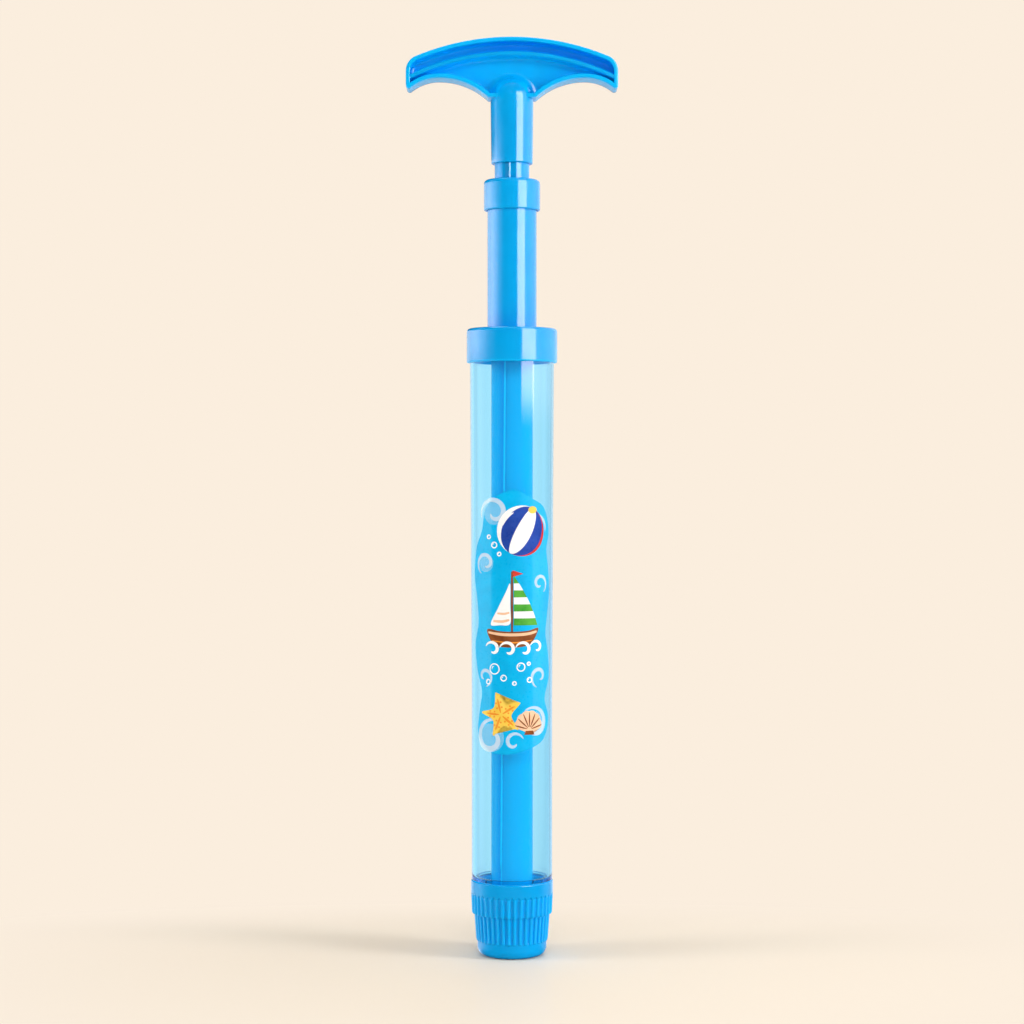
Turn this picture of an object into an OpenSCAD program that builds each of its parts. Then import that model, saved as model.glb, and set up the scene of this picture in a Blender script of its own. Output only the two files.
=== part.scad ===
// Hand-pump water squirter, millimetres. +Z runs up the tube from the centre of the base,
// the grip lies along X.

/* [Barrel] */
// Outside diameter at the foot of the barrel
barrel_foot_d = 40.1; // [38:0.1:44]
// Outside diameter at the top rim of the barrel
barrel_top_d = 42.1; // [40:0.1:46]
// Length from the shoulder to the top rim
barrel_h = 270; // [220:1:320]
// Length of the parallel stretch above the shoulder
barrel_straight_h = 90; // [40:1:160]
// Wall of the barrel
barrel_wall = 1.6; // [1.2:0.1:2.2]
// Width of the shoulder between the body and the threaded mouth
shoulder_w = 2.15; // [1.6:0.05:2.8]
// Length of the threaded mouth below the shoulder
mouth_h = 14.3; // [12:0.1:15]
// Wall of the threaded mouth
mouth_wall = 1.3; // [1:0.1:1.8]

/* [Nozzle cap] */
// Height of the cap
cap_h = 37.4; // [36:0.1:44]
// How far the rim stands out from the barrel
rim_proud = 0.4; // [0.2:0.05:1.2]
// Height of the smooth rim above the ribs
rim_h = 6.3; // [4:0.1:9]
// Height of the step between the two rows of ribs
step_z = 21; // [18:0.1:23]
// Width of that step
step_w = 1.15; // [0.8:0.05:1.4]
// How far the upper ribs lean in towards the step
upper_lean = 0.45; // [0.2:0.05:0.6]
// How far the lower ribs lean in towards the base
lower_lean = 0.95; // [0.4:0.05:1.1]
// Height at which the lower ribs end
rib_foot_z = 8; // [7:0.1:10]
// Ribs in each row
rib_count = 40; // [24:1:44]
// Radius of a rib's round face
rib_r = 0.95; // [0.8:0.05:1.1]
// How far a rib stands out
rib_proud = 0.65; // [0.5:0.05:0.7]
// Round between the side and the base
base_round = 4.5; // [3:0.1:5]
// Thickness of the cap's floor
cap_floor = 3.4; // [3:0.1:5]
// Diameter of the jet
jet_d = 3; // [1.5:0.1:4]
// Diameter of the shallow recess round the jet
jet_recess_d = 13; // [8:0.5:18]
// Gap for the thread between the mouth and the cap
thread_gap = 0.7; // [0.5:0.05:0.8]
// Width of the ledge that carries the gasket
ledge_w = 1.8; // [1.4:0.1:2.6]
// Thickness of the gasket in the cap
cap_gasket_h = 1.8; // [1.4:0.1:2.4]

/* [Barrel collar] */
// Height of the collar
collar_h = 17; // [15:0.1:24]
// Wall of the collar's skirt
collar_wall = 1.53; // [1.2:0.01:2.4]
// Thickness of the collar's top
collar_plate = 3.3; // [2.4:0.1:4.5]
// Round of the collar's top edge
collar_round = 1.6; // [0.6:0.1:2]
// Thickness of the gasket on the barrel's rim
collar_gasket_h = 1.5; // [1:0.1:2]
// Depth of the hub that holds the neck tube, below the collar's top
hub_h = 8; // [6:0.1:9]
// Wall of the hub
hub_wall = 1.8; // [1.4:0.1:2.4]
// Lip that carries the neck tube
lip_h = 2.4; // [1.6:0.1:3]

/* [Neck and gland] */
// Outside diameter of the neck tube
neck_d = 24.6; // [23:0.1:27]
// Wall of the neck tube
neck_wall = 1.85; // [1.5:0.05:2.2]
// Length of neck that shows between the two collars
neck_h = 59; // [40:1:80]
// Height of the gland collar
gland_h = 15.3; // [12:0.1:20]
// Wall of the gland collar's skirt
gland_wall = 1.7; // [1.3:0.05:2.4]
// Thickness of the gland collar's top
gland_plate = 2.7; // [2:0.1:4]
// Round of the gland collar's top edge
gland_round = 1.9; // [0.6:0.1:1.9]
// Height of the rod bush
bush_h = 6; // [4:0.1:9]

/* [Pump] */
// Wall of the pump cylinder
cylinder_wall = 1; // [0.8:0.05:1.3]
// Height of the cylinder's lower end above the end of the mouth
cylinder_lift = 5.6; // [5.4:0.1:9]
// Gap between the rod and the cylinder's bore
rod_gap = 0.75; // [0.6:0.05:1]
// Wall of the pump rod
rod_wall = 1.3; // [1:0.1:2]
// Height of the piston below the rod
piston_h = 12; // [10:0.1:18]
// Length of the piston's spigot in the rod
spigot_h = 14; // [8:0.5:24]
// Thickness of the O-ring
oring_t = 2.2; // [1.8:0.1:2.6]
// Thickness of the foot's flange
foot_flange_h = 3; // [2:0.1:3.2]
// Length of the foot inside the cylinder
foot_plug_h = 5; // [4:0.1:8]
// Ports in the foot
port_count = 6; // [3:1:8]
// Diameter of a port
port_d = 2.6; // [1.6:0.1:3]
// Diameter of the check valve's stem
valve_stem_d = 3.6; // [3:0.1:4]
// Thickness of the check valve's skirt
valve_t = 1.2; // [0.8:0.1:1.6]

/* [Handle] */
// Width of the grip
handle_w = 105.6; // [98:0.1:120]
// Height of the handle from the stem's end to the crown
handle_h = 62.5; // [60:0.1:70]
// Depth of the grip, front to back
handle_depth = 16; // [12:0.1:19]
// Radius of the crown
crown_r = 125; // [110:1:150]
// Round of the upper corners
corner_r = 8; // [5:0.1:10]
// Round of the lower tips
tip_r = 1.5; // [0.8:0.1:2]
// Thickness of the flange round the grip
flange_t = 2.2; // [1.6:0.1:3]
// Thickness of the web
web_t = 2.4; // [1.6:0.1:4]
// Distance from the crown to the middle of the curved rib
shelf_drop = 8.2; // [7:0.1:9.5]
// Thickness of the curved rib
shelf_t = 2.1; // [1.4:0.1:3]
// How far the curved rib lies below the flange's edge
shelf_sink = 0.4; // [0:0.1:2]
// Distance from the crown to the highest point of each finger arch
arch_drop = 20.4; // [19:0.1:23]
// Distance from the middle to that point
arch_x = 36.5; // [35:0.1:38]
// Radius of a finger arch on the stem's side
arch_inner_r = 36; // [34:0.5:39]
// Radius of a finger arch on the tip's side
arch_outer_r = 22; // [20:0.5:26]
// Distance from the stem to the foot of an arch
root_gap = 1.22; // [0.5:0.01:3]
// Wall of the stem at its end
stem_wall = 1.65; // [1.3:0.05:2.4]
// Widening of the stem's radius up to the grip
stem_taper = 0.35; // [0.1:0.05:0.6]
// Height of the stem below the grip
stem_h = 32.4; // [30:0.1:34]
// Depth of the socket for the rod
socket_h = 24; // [14:0.5:28]
// Gap between the stem and the gland collar with the rod pushed in
stem_gap = 8; // [4:0.1:14]

/* [Fits] */
// Radial play of a running fit
run_fit = 0.1; // [0.05:0.01:0.1]
// Radial play of a pressed or glued fit
press_fit = 0.05; // [0.03:0.01:0.08]
// Gap at a seat or a stop
seat_gap = 0.1; // [0.05:0.01:0.2]
// Gap between the cap's rim and the barrel's shoulder
shoulder_gap = 0.3; // [0.2:0.05:0.6]
// Radial gap of the piston in the cylinder
piston_gap = 0.2; // [0.15:0.01:0.25]

/* [Hidden] */
$fn = 128;
eps = 0.5;

// Radii of the bottle and its cap
foot_r = barrel_foot_d / 2;
top_r = barrel_top_d / 2;
mouth_r = foot_r - shoulder_w;
mouth_bore_r = mouth_r - mouth_wall;
rim_r = foot_r + rim_proud;
cap_bore_r = mouth_r + thread_gap;
chamber_r = mouth_bore_r - ledge_w;
upper_foot_r = rim_r - upper_lean;
lower_top_r = upper_foot_r - step_w;
lower_foot_r = lower_top_r - lower_lean;
waist_r = lower_foot_r - rib_proud;

// Heights of the bottle and its cap
shoulder_z = cap_h + shoulder_gap;
mouth_end_z = shoulder_z - mouth_h;
ledge_z = mouth_end_z - seat_gap - cap_gasket_h;
rib_top_z = cap_h - rim_h;
barrel_top_z = shoulder_z + barrel_h;

// Collar, neck and gland
skirt_bore_r = top_r + press_fit;
collar_r = skirt_bore_r + collar_wall;
collar_seat_z = barrel_top_z + collar_gasket_h;
collar_top_z = collar_seat_z + collar_plate;
neck_r = neck_d / 2;
neck_bore_r = neck_r - neck_wall;
neck_seat_z = collar_seat_z - hub_h + lip_h;
gland_z = collar_top_z + neck_h;
gland_bore_r = neck_r + press_fit;
gland_r = gland_bore_r + gland_wall;
gland_top_z = gland_z + gland_h;
neck_top_z = gland_top_z - gland_plate;
bush_z = neck_top_z - bush_h;

// Pump
cylinder_r = neck_bore_r - press_fit;
cylinder_bore_r = cylinder_r - cylinder_wall;
cylinder_z = mouth_end_z + cylinder_lift;
rod_r = cylinder_bore_r - rod_gap;
rod_bore_r = rod_r - rod_wall;
piston_r = cylinder_bore_r - piston_gap;
piston_z = cylinder_z + foot_plug_h + seat_gap;
rod_z = piston_z + piston_h;
oring_r = oring_t / 2;
oring_mid_r = cylinder_bore_r - press_fit - oring_r;
groove_r = oring_mid_r - oring_r - press_fit;
groove_h = oring_t * 1.4;
groove_z = piston_z + (piston_h - groove_h) / 2;
valve_r = cylinder_r - 2.6;
port_ring_r = (valve_r + valve_stem_d / 2) / 2;
stroke = bush_z - rod_z - seat_gap;

// Handle, measured in the grip's own upright plane from the end of the stem
stem_z = gland_top_z + stem_gap;
socket_r = rod_r + press_fit;
stem_end_r = socket_r + stem_wall;
stem_root_r = stem_end_r + stem_taper;
half_w = handle_w / 2;
crown_y = handle_h - crown_r;
corner_x = half_w - corner_r;
corner_y = crown_y + sqrt(pow(crown_r - corner_r, 2) - pow(corner_x, 2));
arch_top_y = handle_h - arch_drop;
inner_y = arch_top_y - arch_inner_r;
outer_y = arch_top_y - arch_outer_r;
root_x = stem_root_r + root_gap;
arch_foot_y = inner_y + sqrt(pow(arch_inner_r, 2) - pow(arch_x - root_x, 2));
root_y = min(stem_h, arch_foot_y);
tip_x = half_w - tip_r;
level_x = arch_x + sqrt(pow(arch_outer_r + tip_r, 2) - pow(root_y + tip_r - outer_y, 2));
tip_y = outer_y + sqrt(pow(arch_outer_r + tip_r, 2) - pow(min(tip_x, level_x) - arch_x, 2));
tip_share = arch_outer_r / (arch_outer_r + tip_r);

echo(stroke = stroke, height = stem_z + handle_h, piston_z = piston_z, mouth_end_z = mouth_end_z);

// A round tube between two heights
module tube(r, bore, z0, z1) {
    translate([0, 0, z0])
        difference() {
            cylinder(r = r, h = z1 - z0);
            translate([0, 0, -eps]) cylinder(r = bore, h = z1 - z0 + 2 * eps);
        }
}

// Half section of a disc with rounded outer edges
module rounded_section(r, h, top, bottom) {
    translate([0, bottom]) square([r, h - top - bottom]);
    square([r - top, h]);
    translate([r - top, h - top]) circle(r = top);
    translate([r - bottom, bottom]) circle(r = bottom);
}

// Clear barrel: a bottle that opens downwards, with a threaded mouth under its shoulder
module barrel() {
    color([0.62, 0.88, 0.98, 0.4])
        rotate_extrude()
            polygon([
                [mouth_bore_r, mouth_end_z],
                [mouth_r, mouth_end_z],
                [mouth_r, shoulder_z],
                [foot_r - 0.4, shoulder_z],
                [foot_r, shoulder_z + 0.4],
                [foot_r, shoulder_z + barrel_straight_h],
                [top_r, barrel_top_z],
                [top_r - barrel_wall, barrel_top_z],
                [foot_r - barrel_wall, shoulder_z + barrel_straight_h],
                [foot_r - barrel_wall, shoulder_z + barrel_wall + shoulder_w],
                [mouth_bore_r, shoulder_z + barrel_wall]
            ]);
}

// Outer form of the cap between its ribs
module cap_body() {
    rotate_extrude() {
        rounded_section(waist_r, rib_foot_z, 0.1, base_round);
        polygon([
            [0, base_round],
            [waist_r, base_round],
            [waist_r, rib_foot_z],
            [lower_top_r - rib_proud, step_z],
            [upper_foot_r - rib_proud, step_z],
            [rim_r - rib_proud, rib_top_z],
            [0, rib_top_z]
        ]);
        translate([0, rib_top_z]) rounded_section(rim_r, rim_h, 0.5, 0.3);
    }
}

// One row of ribs that follows the lean of the wall
module rib_row(foot_r, head_r, z0, z1) {
    lean = atan((head_r - foot_r) / (z1 - z0));
    for (i = [0 : rib_count - 1])
        rotate([0, 0, (i + 0.5) * 360 / rib_count])
            translate([foot_r - rib_r, 0, z0])
                rotate([0, lean, 0])
                    cylinder(r = rib_r, h = (z1 - z0) / cos(lean), $fn = 24);
}

// Ribbed cap with the jet in its base
module nozzle_cap() {
    color([0, 0.62, 0.92])
        difference() {
            union() {
                cap_body();
                rib_row(upper_foot_r, rim_r, step_z, rib_top_z + 0.4);
                rib_row(lower_foot_r, lower_top_r, rib_foot_z, step_z + 0.4);
            }
            translate([0, 0, ledge_z]) cylinder(r = cap_bore_r, h = cap_h);
            translate([0, 0, cap_floor + 1.2]) cylinder(r = chamber_r, h = cap_h);
            translate([0, 0, cap_floor]) cylinder(r1 = jet_d, r2 = chamber_r, h = 1.2);
            translate([0, 0, -eps]) cylinder(d = jet_d, h = cap_h);
            translate([0, 0, -eps]) cylinder(d = jet_recess_d, h = eps + 0.8);
        }
}

// Rubber ring between the cap's ledge and the end of the mouth
module cap_gasket() {
    color([0.12, 0.12, 0.13])
        tube(cap_bore_r - seat_gap, chamber_r, ledge_z, ledge_z + cap_gasket_h);
}

// Collar that closes the barrel's top and carries the neck tube
module barrel_collar() {
    color([0, 0.62, 0.92])
        difference() {
            union() {
                difference() {
                    translate([0, 0, collar_top_z - collar_h])
                        rotate_extrude() rounded_section(collar_r, collar_h, collar_round, 0.5);
                    translate([0, 0, collar_top_z - collar_h - eps])
                        cylinder(r = skirt_bore_r, h = collar_h - collar_plate + eps);
                }
                translate([0, 0, collar_seat_z - hub_h])
                    cylinder(r = neck_r + press_fit + hub_wall, h = hub_h + eps);
            }
            translate([0, 0, neck_seat_z]) cylinder(r = neck_r + press_fit, h = collar_h);
            translate([0, 0, 0]) cylinder(r = cylinder_r + press_fit, h = collar_top_z);
        }
}

// Rubber ring on the barrel's top rim
module collar_gasket() {
    color([0.12, 0.12, 0.13])
        tube(top_r - press_fit, top_r - barrel_wall - 0.6, barrel_top_z, collar_seat_z);
}

// Tube between the two collars
module neck_tube() {
    color([0, 0.62, 0.92])
        tube(neck_r, neck_bore_r, neck_seat_z, neck_top_z);
}

// Collar over the neck's top with the hole for the rod
module gland_collar() {
    color([0, 0.62, 0.92])
        difference() {
            translate([0, 0, gland_z])
                rotate_extrude() rounded_section(gland_r, gland_h, gland_round, 0.6);
            translate([0, 0, gland_z - eps])
                cylinder(r = gland_bore_r, h = gland_h - gland_plate + eps);
            translate([0, 0, gland_z]) cylinder(r = rod_r + run_fit, h = gland_h + eps);
        }
}

// Ring that guides the rod and stops the piston
module rod_bush() {
    color([0.9, 0.92, 0.94])
        tube(neck_bore_r - press_fit, rod_r + run_fit, bush_z, neck_top_z);
}

// Tube in which the piston runs
module pump_cylinder() {
    color([0, 0.66, 0.95])
        tube(cylinder_r, cylinder_bore_r, cylinder_z, bush_z);
}

// Plug in the cylinder's lower end with the ports
module cylinder_foot() {
    color([0, 0.5, 0.8])
        difference() {
            union() {
                translate([0, 0, cylinder_z - foot_flange_h])
                    cylinder(r = cylinder_r, h = foot_flange_h);
                translate([0, 0, cylinder_z - eps])
                    cylinder(r = cylinder_bore_r - press_fit, h = foot_plug_h + eps);
            }
            translate([0, 0, cylinder_z - foot_flange_h - eps])
                cylinder(d = valve_stem_d, h = foot_flange_h + foot_plug_h + 2 * eps);
            for (i = [0 : port_count - 1])
                rotate([0, 0, i * 360 / port_count])
                    translate([port_ring_r, 0, cylinder_z - foot_flange_h - eps])
                        cylinder(d = port_d, h = foot_flange_h + foot_plug_h + 2 * eps, $fn = 32);
        }
}

// Rubber mushroom that covers the ports
module check_valve() {
    stem_r = valve_stem_d / 2 - press_fit;
    flange_z = cylinder_z - foot_flange_h;
    plug_top_z = cylinder_z + foot_plug_h;
    color([0.12, 0.12, 0.13])
        union() {
            translate([0, 0, flange_z - valve_t]) cylinder(r1 = valve_r - 0.8, r2 = valve_r, h = valve_t);
            translate([0, 0, flange_z - valve_t]) cylinder(r = stem_r, h = plug_top_z - flange_z + valve_t);
            translate([0, 0, plug_top_z]) cylinder(r1 = stem_r + 0.6, r2 = stem_r * 0.6, h = 2);
        }
}

// Tube between the piston and the handle
module plunger_rod() {
    color([0, 0.62, 0.92])
        tube(rod_r, rod_bore_r, rod_z, stem_z + socket_h);
}

// Piston with its groove and the spigot that holds the rod
module piston() {
    color([0.9, 0.92, 0.94])
        difference() {
            union() {
                translate([0, 0, piston_z]) cylinder(r = piston_r, h = piston_h);
                translate([0, 0, rod_z - eps]) cylinder(r = rod_bore_r - press_fit, h = spigot_h + eps);
            }
            tube(piston_r + eps, groove_r, groove_z, groove_z + groove_h);
            translate([0, 0, piston_z - eps]) cylinder(d = valve_stem_d + 2.4, h = 2.6 + eps);
        }
}

// Ring that seals the piston
module piston_oring() {
    color([0.12, 0.12, 0.13])
        translate([0, 0, groove_z + groove_h / 2])
            rotate_extrude() translate([oring_mid_r, 0]) circle(r = oring_r, $fn = 48);
}

// Right half of the grip's outline, drawn in by the given inset
module half_outline(inset) {
    r = crown_r - inset;
    difference() {
        union() {
            intersection() {
                translate([0, crown_y]) circle(r = r);
                translate([0, root_y + inset])
                    square([corner_x * r / (crown_r - corner_r), handle_h]);
            }
            translate([0, root_y + inset]) square([half_w - inset, corner_y - root_y - inset]);
            translate([corner_x, corner_y]) circle(r = corner_r - inset);
        }
        intersection() {
            translate([arch_x, inner_y]) circle(r = arch_inner_r + inset);
            square([arch_x, handle_h]);
        }
        intersection() {
            translate([arch_x, outer_y]) circle(r = arch_outer_r + inset);
            translate([arch_x, 0]) square([half_w, handle_h]);
        }
    }
}

// The same outline with its lower tip rounded, where a tip too long for its arch runs on level
module rounded_half() {
    level = tip_x > level_x;
    cut_x = level ? tip_x : arch_x + (tip_x - arch_x) * tip_share;
    cut_y = level ? root_y : outer_y + (tip_y - outer_y) * tip_share;
    difference() {
        half_outline(0);
        polygon([[cut_x, cut_y], [tip_x, tip_y], [half_w + eps, tip_y], [half_w + eps, 0], [cut_x, 0]]);
    }
    translate([tip_x, tip_y]) circle(r = tip_r, $fn = 48);
}

// Whole outline of the grip
module outline() {
    rounded_half();
    mirror([1, 0]) rounded_half();
}

// Recess inside the flange
module pocket() {
    half_outline(flange_t);
    mirror([1, 0]) half_outline(flange_t);
}

// A flat shape stood upright in the grip's plane
module upright(depth) {
    translate([0, depth / 2, stem_z])
        rotate([90, 0, 0])
            linear_extrude(height = depth) children();
}

// T-grip: flange, web and curved rib on a domed stem with the rod's socket
module handle() {
    color([0, 0.62, 0.92])
        difference() {
            union() {
                upright(handle_depth)
                    difference() {
                        outline();
                        pocket();
                    }
                upright(web_t) outline();
                upright(handle_depth - 2 * shelf_sink)
                    intersection() {
                        outline();
                        translate([0, crown_y])
                            difference() {
                                circle(r = crown_r - shelf_drop + shelf_t / 2);
                                circle(r = crown_r - shelf_drop - shelf_t / 2);
                            }
                    }
                translate([0, 0, stem_z]) cylinder(r1 = stem_end_r, r2 = stem_root_r, h = stem_h);
                translate([0, 0, stem_z + stem_h]) sphere(r = stem_root_r);
            }
            translate([0, 0, stem_z - eps]) cylinder(r = socket_r, h = socket_h + eps);
        }
}

barrel();
nozzle_cap();
cap_gasket();
barrel_collar();
collar_gasket();
neck_tube();
gland_collar();
rod_bush();
pump_cylinder();
cylinder_foot();
check_valve();
plunger_rod();
piston();
piston_oring();
handle();
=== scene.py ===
import math

import bmesh
import bpy
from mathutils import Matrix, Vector


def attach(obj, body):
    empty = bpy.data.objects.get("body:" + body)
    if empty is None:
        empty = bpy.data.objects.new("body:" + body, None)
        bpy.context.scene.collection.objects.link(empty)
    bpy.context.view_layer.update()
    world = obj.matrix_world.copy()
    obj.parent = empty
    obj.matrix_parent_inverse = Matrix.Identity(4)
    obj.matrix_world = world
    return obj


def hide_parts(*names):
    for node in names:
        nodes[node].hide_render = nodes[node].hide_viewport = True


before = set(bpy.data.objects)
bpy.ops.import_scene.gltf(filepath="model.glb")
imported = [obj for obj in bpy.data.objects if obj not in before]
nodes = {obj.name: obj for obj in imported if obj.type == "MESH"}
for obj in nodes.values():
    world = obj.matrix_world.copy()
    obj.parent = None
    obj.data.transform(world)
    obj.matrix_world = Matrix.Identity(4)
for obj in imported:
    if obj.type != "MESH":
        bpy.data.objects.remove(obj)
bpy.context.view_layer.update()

MM = 0.001


# Mesh helpers, sizes in millimetres


def add_piece(name, verts, faces, mats, face_mats=None, sharp=38, closed=True):
    me = bpy.data.meshes.new(name)
    me.from_pydata([(x * MM, y * MM, z * MM) for x, y, z in verts], [], faces)
    for m in mats:
        me.materials.append(m)
    if face_mats:
        me.polygons.foreach_set("material_index", face_mats)
    if closed:
        bm = bmesh.new()
        bm.from_mesh(me)
        bmesh.ops.remove_doubles(bm, verts=bm.verts, dist=1e-7)
        bmesh.ops.triangulate(bm, faces=[f for f in bm.faces if len(f.verts) > 4])
        bmesh.ops.recalc_face_normals(bm, faces=bm.faces)
        bm.to_mesh(me)
        bm.free()
    me.polygons.foreach_set("use_smooth", [True] * len(me.polygons))
    me.set_sharp_from_angle(angle=math.radians(sharp))
    me.update()
    ob = bpy.data.objects.new(name, me)
    bpy.context.scene.collection.objects.link(ob)
    return ob


def join(parts):
    """One list of points and one of faces from several pieces"""
    verts, faces = [], []
    for v, f in parts:
        n = len(verts)
        verts += v
        faces += [tuple(i + n for i in face) for face in f]
    return verts, faces


def bridge(loops, close_rows=False):
    """Faces between closed loops of points"""
    n = len(loops[0])
    verts = [p for loop in loops for p in loop]
    faces = []
    rows = len(loops) if close_rows else len(loops) - 1
    for i in range(rows):
        a, b = i * n, ((i + 1) % len(loops)) * n
        for j in range(n):
            k = (j + 1) % n
            faces.append((a + j, a + k, b + k, b + j))
    return verts, faces


def loft(loops):
    """Bridged loops with a face over both ends"""
    verts, faces = bridge(loops)
    n = len(loops[0])
    return verts, faces + [tuple(range(n)), tuple(range(len(verts) - n, len(verts)))]


def around(i, segs, r, z):
    return (r * math.cos(2 * math.pi * i / segs), r * math.sin(2 * math.pi * i / segs), z)


def lathe(profile, segs, closed=True):
    return bridge([[around(i, segs, r, z) for i in range(segs)] for r, z in profile], close_rows=closed)


def arc(cx, cy, r, a0, a1, n):
    return [
        (cx + r * math.cos(math.radians(a0 + (a1 - a0) * i / n)),
         cy + r * math.sin(math.radians(a0 + (a1 - a0) * i / n)))
        for i in range(n + 1)
    ]


def smooth(a, b, x):
    t = min(max((x - a) / (b - a), 0), 1)
    return t * t * (3 - 2 * t)


# Material helpers


def shader(name):
    m = bpy.data.materials.new(name)
    m.use_nodes = True
    nt = m.node_tree
    nt.nodes.clear()
    out = nt.nodes.new("ShaderNodeOutputMaterial")
    bsdf = nt.nodes.new("ShaderNodeBsdfPrincipled")
    nt.links.new(bsdf.outputs[0], out.inputs[0])
    return m, nt, bsdf, out


def principled(m):
    return next(n for n in m.node_tree.nodes if n.type == "BSDF_PRINCIPLED")


def add_painted_glow(m, colour, strength):
    """Painted glow, standing in for light through a thin wall or for a highlight"""
    bsdf = principled(m)
    bsdf.inputs["Emission Color"].default_value = (*colour, 1)
    bsdf.inputs["Emission Strength"].default_value = strength


def noise(nt, scale, detail, rough=0.5, stretch=None):
    co = nt.nodes.new("ShaderNodeTexCoord")
    tex = nt.nodes.new("ShaderNodeTexNoise")
    tex.inputs["Scale"].default_value = scale
    tex.inputs["Detail"].default_value = detail
    tex.inputs["Roughness"].default_value = rough
    place = co.outputs["Object"]
    if stretch:
        mapping = nt.nodes.new("ShaderNodeMapping")
        mapping.inputs["Scale"].default_value = stretch
        nt.links.new(place, mapping.inputs["Vector"])
        place = mapping.outputs[0]
    nt.links.new(place, tex.inputs["Vector"])
    return tex.outputs["Fac"]


def ramp(nt, value, stops):
    node = nt.nodes.new("ShaderNodeValToRGB")
    while len(node.color_ramp.elements) < len(stops):
        node.color_ramp.elements.new(0.5)
    for e, (at, colour) in zip(node.color_ramp.elements, stops):
        e.position = at
        e.color = (*colour, 1)
    nt.links.new(value, node.inputs["Fac"])
    return node.outputs["Color"]


def spread(nt, value, low, high):
    """Noise spread over a range"""
    node = nt.nodes.new("ShaderNodeMapRange")
    node.inputs["From Min"].default_value = 0.3
    node.inputs["From Max"].default_value = 0.7
    node.inputs["To Min"].default_value = low
    node.inputs["To Max"].default_value = high
    nt.links.new(value, node.inputs["Value"])
    return node.outputs["Result"]


def bump(nt, bsdf, value, strength, distance):
    node = nt.nodes.new("ShaderNodeBump")
    node.inputs["Strength"].default_value = strength
    node.inputs["Distance"].default_value = distance
    nt.links.new(value, node.inputs["Height"])
    nt.links.new(node.outputs[0], bsdf.inputs["Normal"])


def node_math(nt, kind, *values):
    node = nt.nodes.new("ShaderNodeMath")
    node.operation = kind
    for i, v in enumerate(values):
        if isinstance(v, (int, float)):
            node.inputs[i].default_value = v
        else:
            nt.links.new(v, node.inputs[i])
    return node.outputs[0]


def node_mix(nt, share, a, b):
    node = nt.nodes.new("ShaderNodeMix")
    node.data_type = "RGBA"
    nt.links.new(share, node.inputs["Factor"])
    for i, v in ((6, a), (7, b)):
        if isinstance(v, tuple):
            node.inputs[i].default_value = (*v, 1)
        else:
            nt.links.new(v, node.inputs[i])
    return node.outputs[2]


def node_tint(nt, colour, by):
    node = nt.nodes.new("ShaderNodeMix")
    node.data_type = "RGBA"
    node.blend_type = "MULTIPLY"
    node.inputs["Factor"].default_value = 1
    nt.links.new(colour, node.inputs[6])
    if isinstance(by, tuple):
        node.inputs[7].default_value = (*by, 1)
    else:
        nt.links.new(by, node.inputs[7])
    return node.outputs[2]


def azimuth(nt, vector):
    """Angle round the upright axis, 0 to 1, with the front in the middle"""
    xyz = nt.nodes.new("ShaderNodeSeparateXYZ")
    nt.links.new(vector, xyz.inputs[0])
    turn = node_math(nt, "ARCTAN2", xyz.outputs["X"], node_math(nt, "MULTIPLY", xyz.outputs["Y"], -1))
    return node_math(nt, "MULTIPLY_ADD", turn, 0.5 / math.pi, 0.5), xyz.outputs["Z"]


def levels(nt, turn, stops):
    """Grey levels by the angle in degrees from the front"""
    return ramp(nt, turn, [((a + 180) / 360, (v, v, v)) for a, v in stops])


def plastic(name, dark, light, rough, specular=0.5, grain=0.05, stretch=None):
    m, nt, bsdf, _ = shader(name)
    colour = ramp(nt, noise(nt, 42, 3, 0.55, stretch), [(0.32, dark), (0.68, light)])
    nt.links.new(colour, bsdf.inputs["Base Color"])
    nt.links.new(spread(nt, noise(nt, 130, 2), rough - 0.03, rough + 0.04), bsdf.inputs["Roughness"])
    bump(nt, bsdf, noise(nt, 700, 2), grain, 0.00004)
    bsdf.inputs["Specular IOR Level"].default_value = specular
    return m


def ink(name, dark, light, alpha=1.0):
    m, nt, bsdf, _ = shader(name)
    nt.links.new(ramp(nt, noise(nt, 160, 2), [(0.3, dark), (0.7, light)]), bsdf.inputs["Base Color"])
    nt.links.new(spread(nt, noise(nt, 900, 2), 0.25, 0.38), bsdf.inputs["Roughness"])
    bsdf.inputs["Alpha"].default_value = alpha
    bsdf.inputs["Specular IOR Level"].default_value = 0.15
    return m


def painted_streaks(m, at_zero, per_metre, stops):
    """Painted shade and highlight, as tones by the angle in degrees from a line that runs up the piece"""
    nt = m.node_tree
    bsdf = principled(m)
    base = bsdf.inputs["Base Color"].links[0].from_socket
    co = nt.nodes.new("ShaderNodeTexCoord")
    turn, up = azimuth(nt, co.outputs["Object"])
    line_at = node_math(nt, "MULTIPLY_ADD", up, per_metre / 360, at_zero / 360 + 0.5)
    place = node_math(nt, "MULTIPLY_ADD", node_math(nt, "SUBTRACT", turn, line_at), 3.6, 0.5)
    painted_tone = ramp(nt, place, [(0.5 + d / 100, v if isinstance(v, tuple) else (v, v, v)) for d, v in stops])
    nt.links.new(node_tint(nt, base, painted_tone), bsdf.inputs["Base Color"])


blue = plastic("blue_plastic", (0.0, 0.33, 0.77), (0.0, 0.37, 0.83), 0.13)
# Painted light: the grip's thin walls and the collar's lip get a lighter blue, standing in for light that
# comes through them
painted_lit_blue = plastic("blue_painted_lit", (0.0, 0.42, 0.92), (0.0, 0.46, 0.97), 0.14)
# Painted light: a half-lit blue between the two, where the dome passes into the web
painted_half_lit_blue = plastic("blue_painted_half_lit", (0.0, 0.375, 0.845), (0.0, 0.415, 0.9), 0.135)
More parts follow.
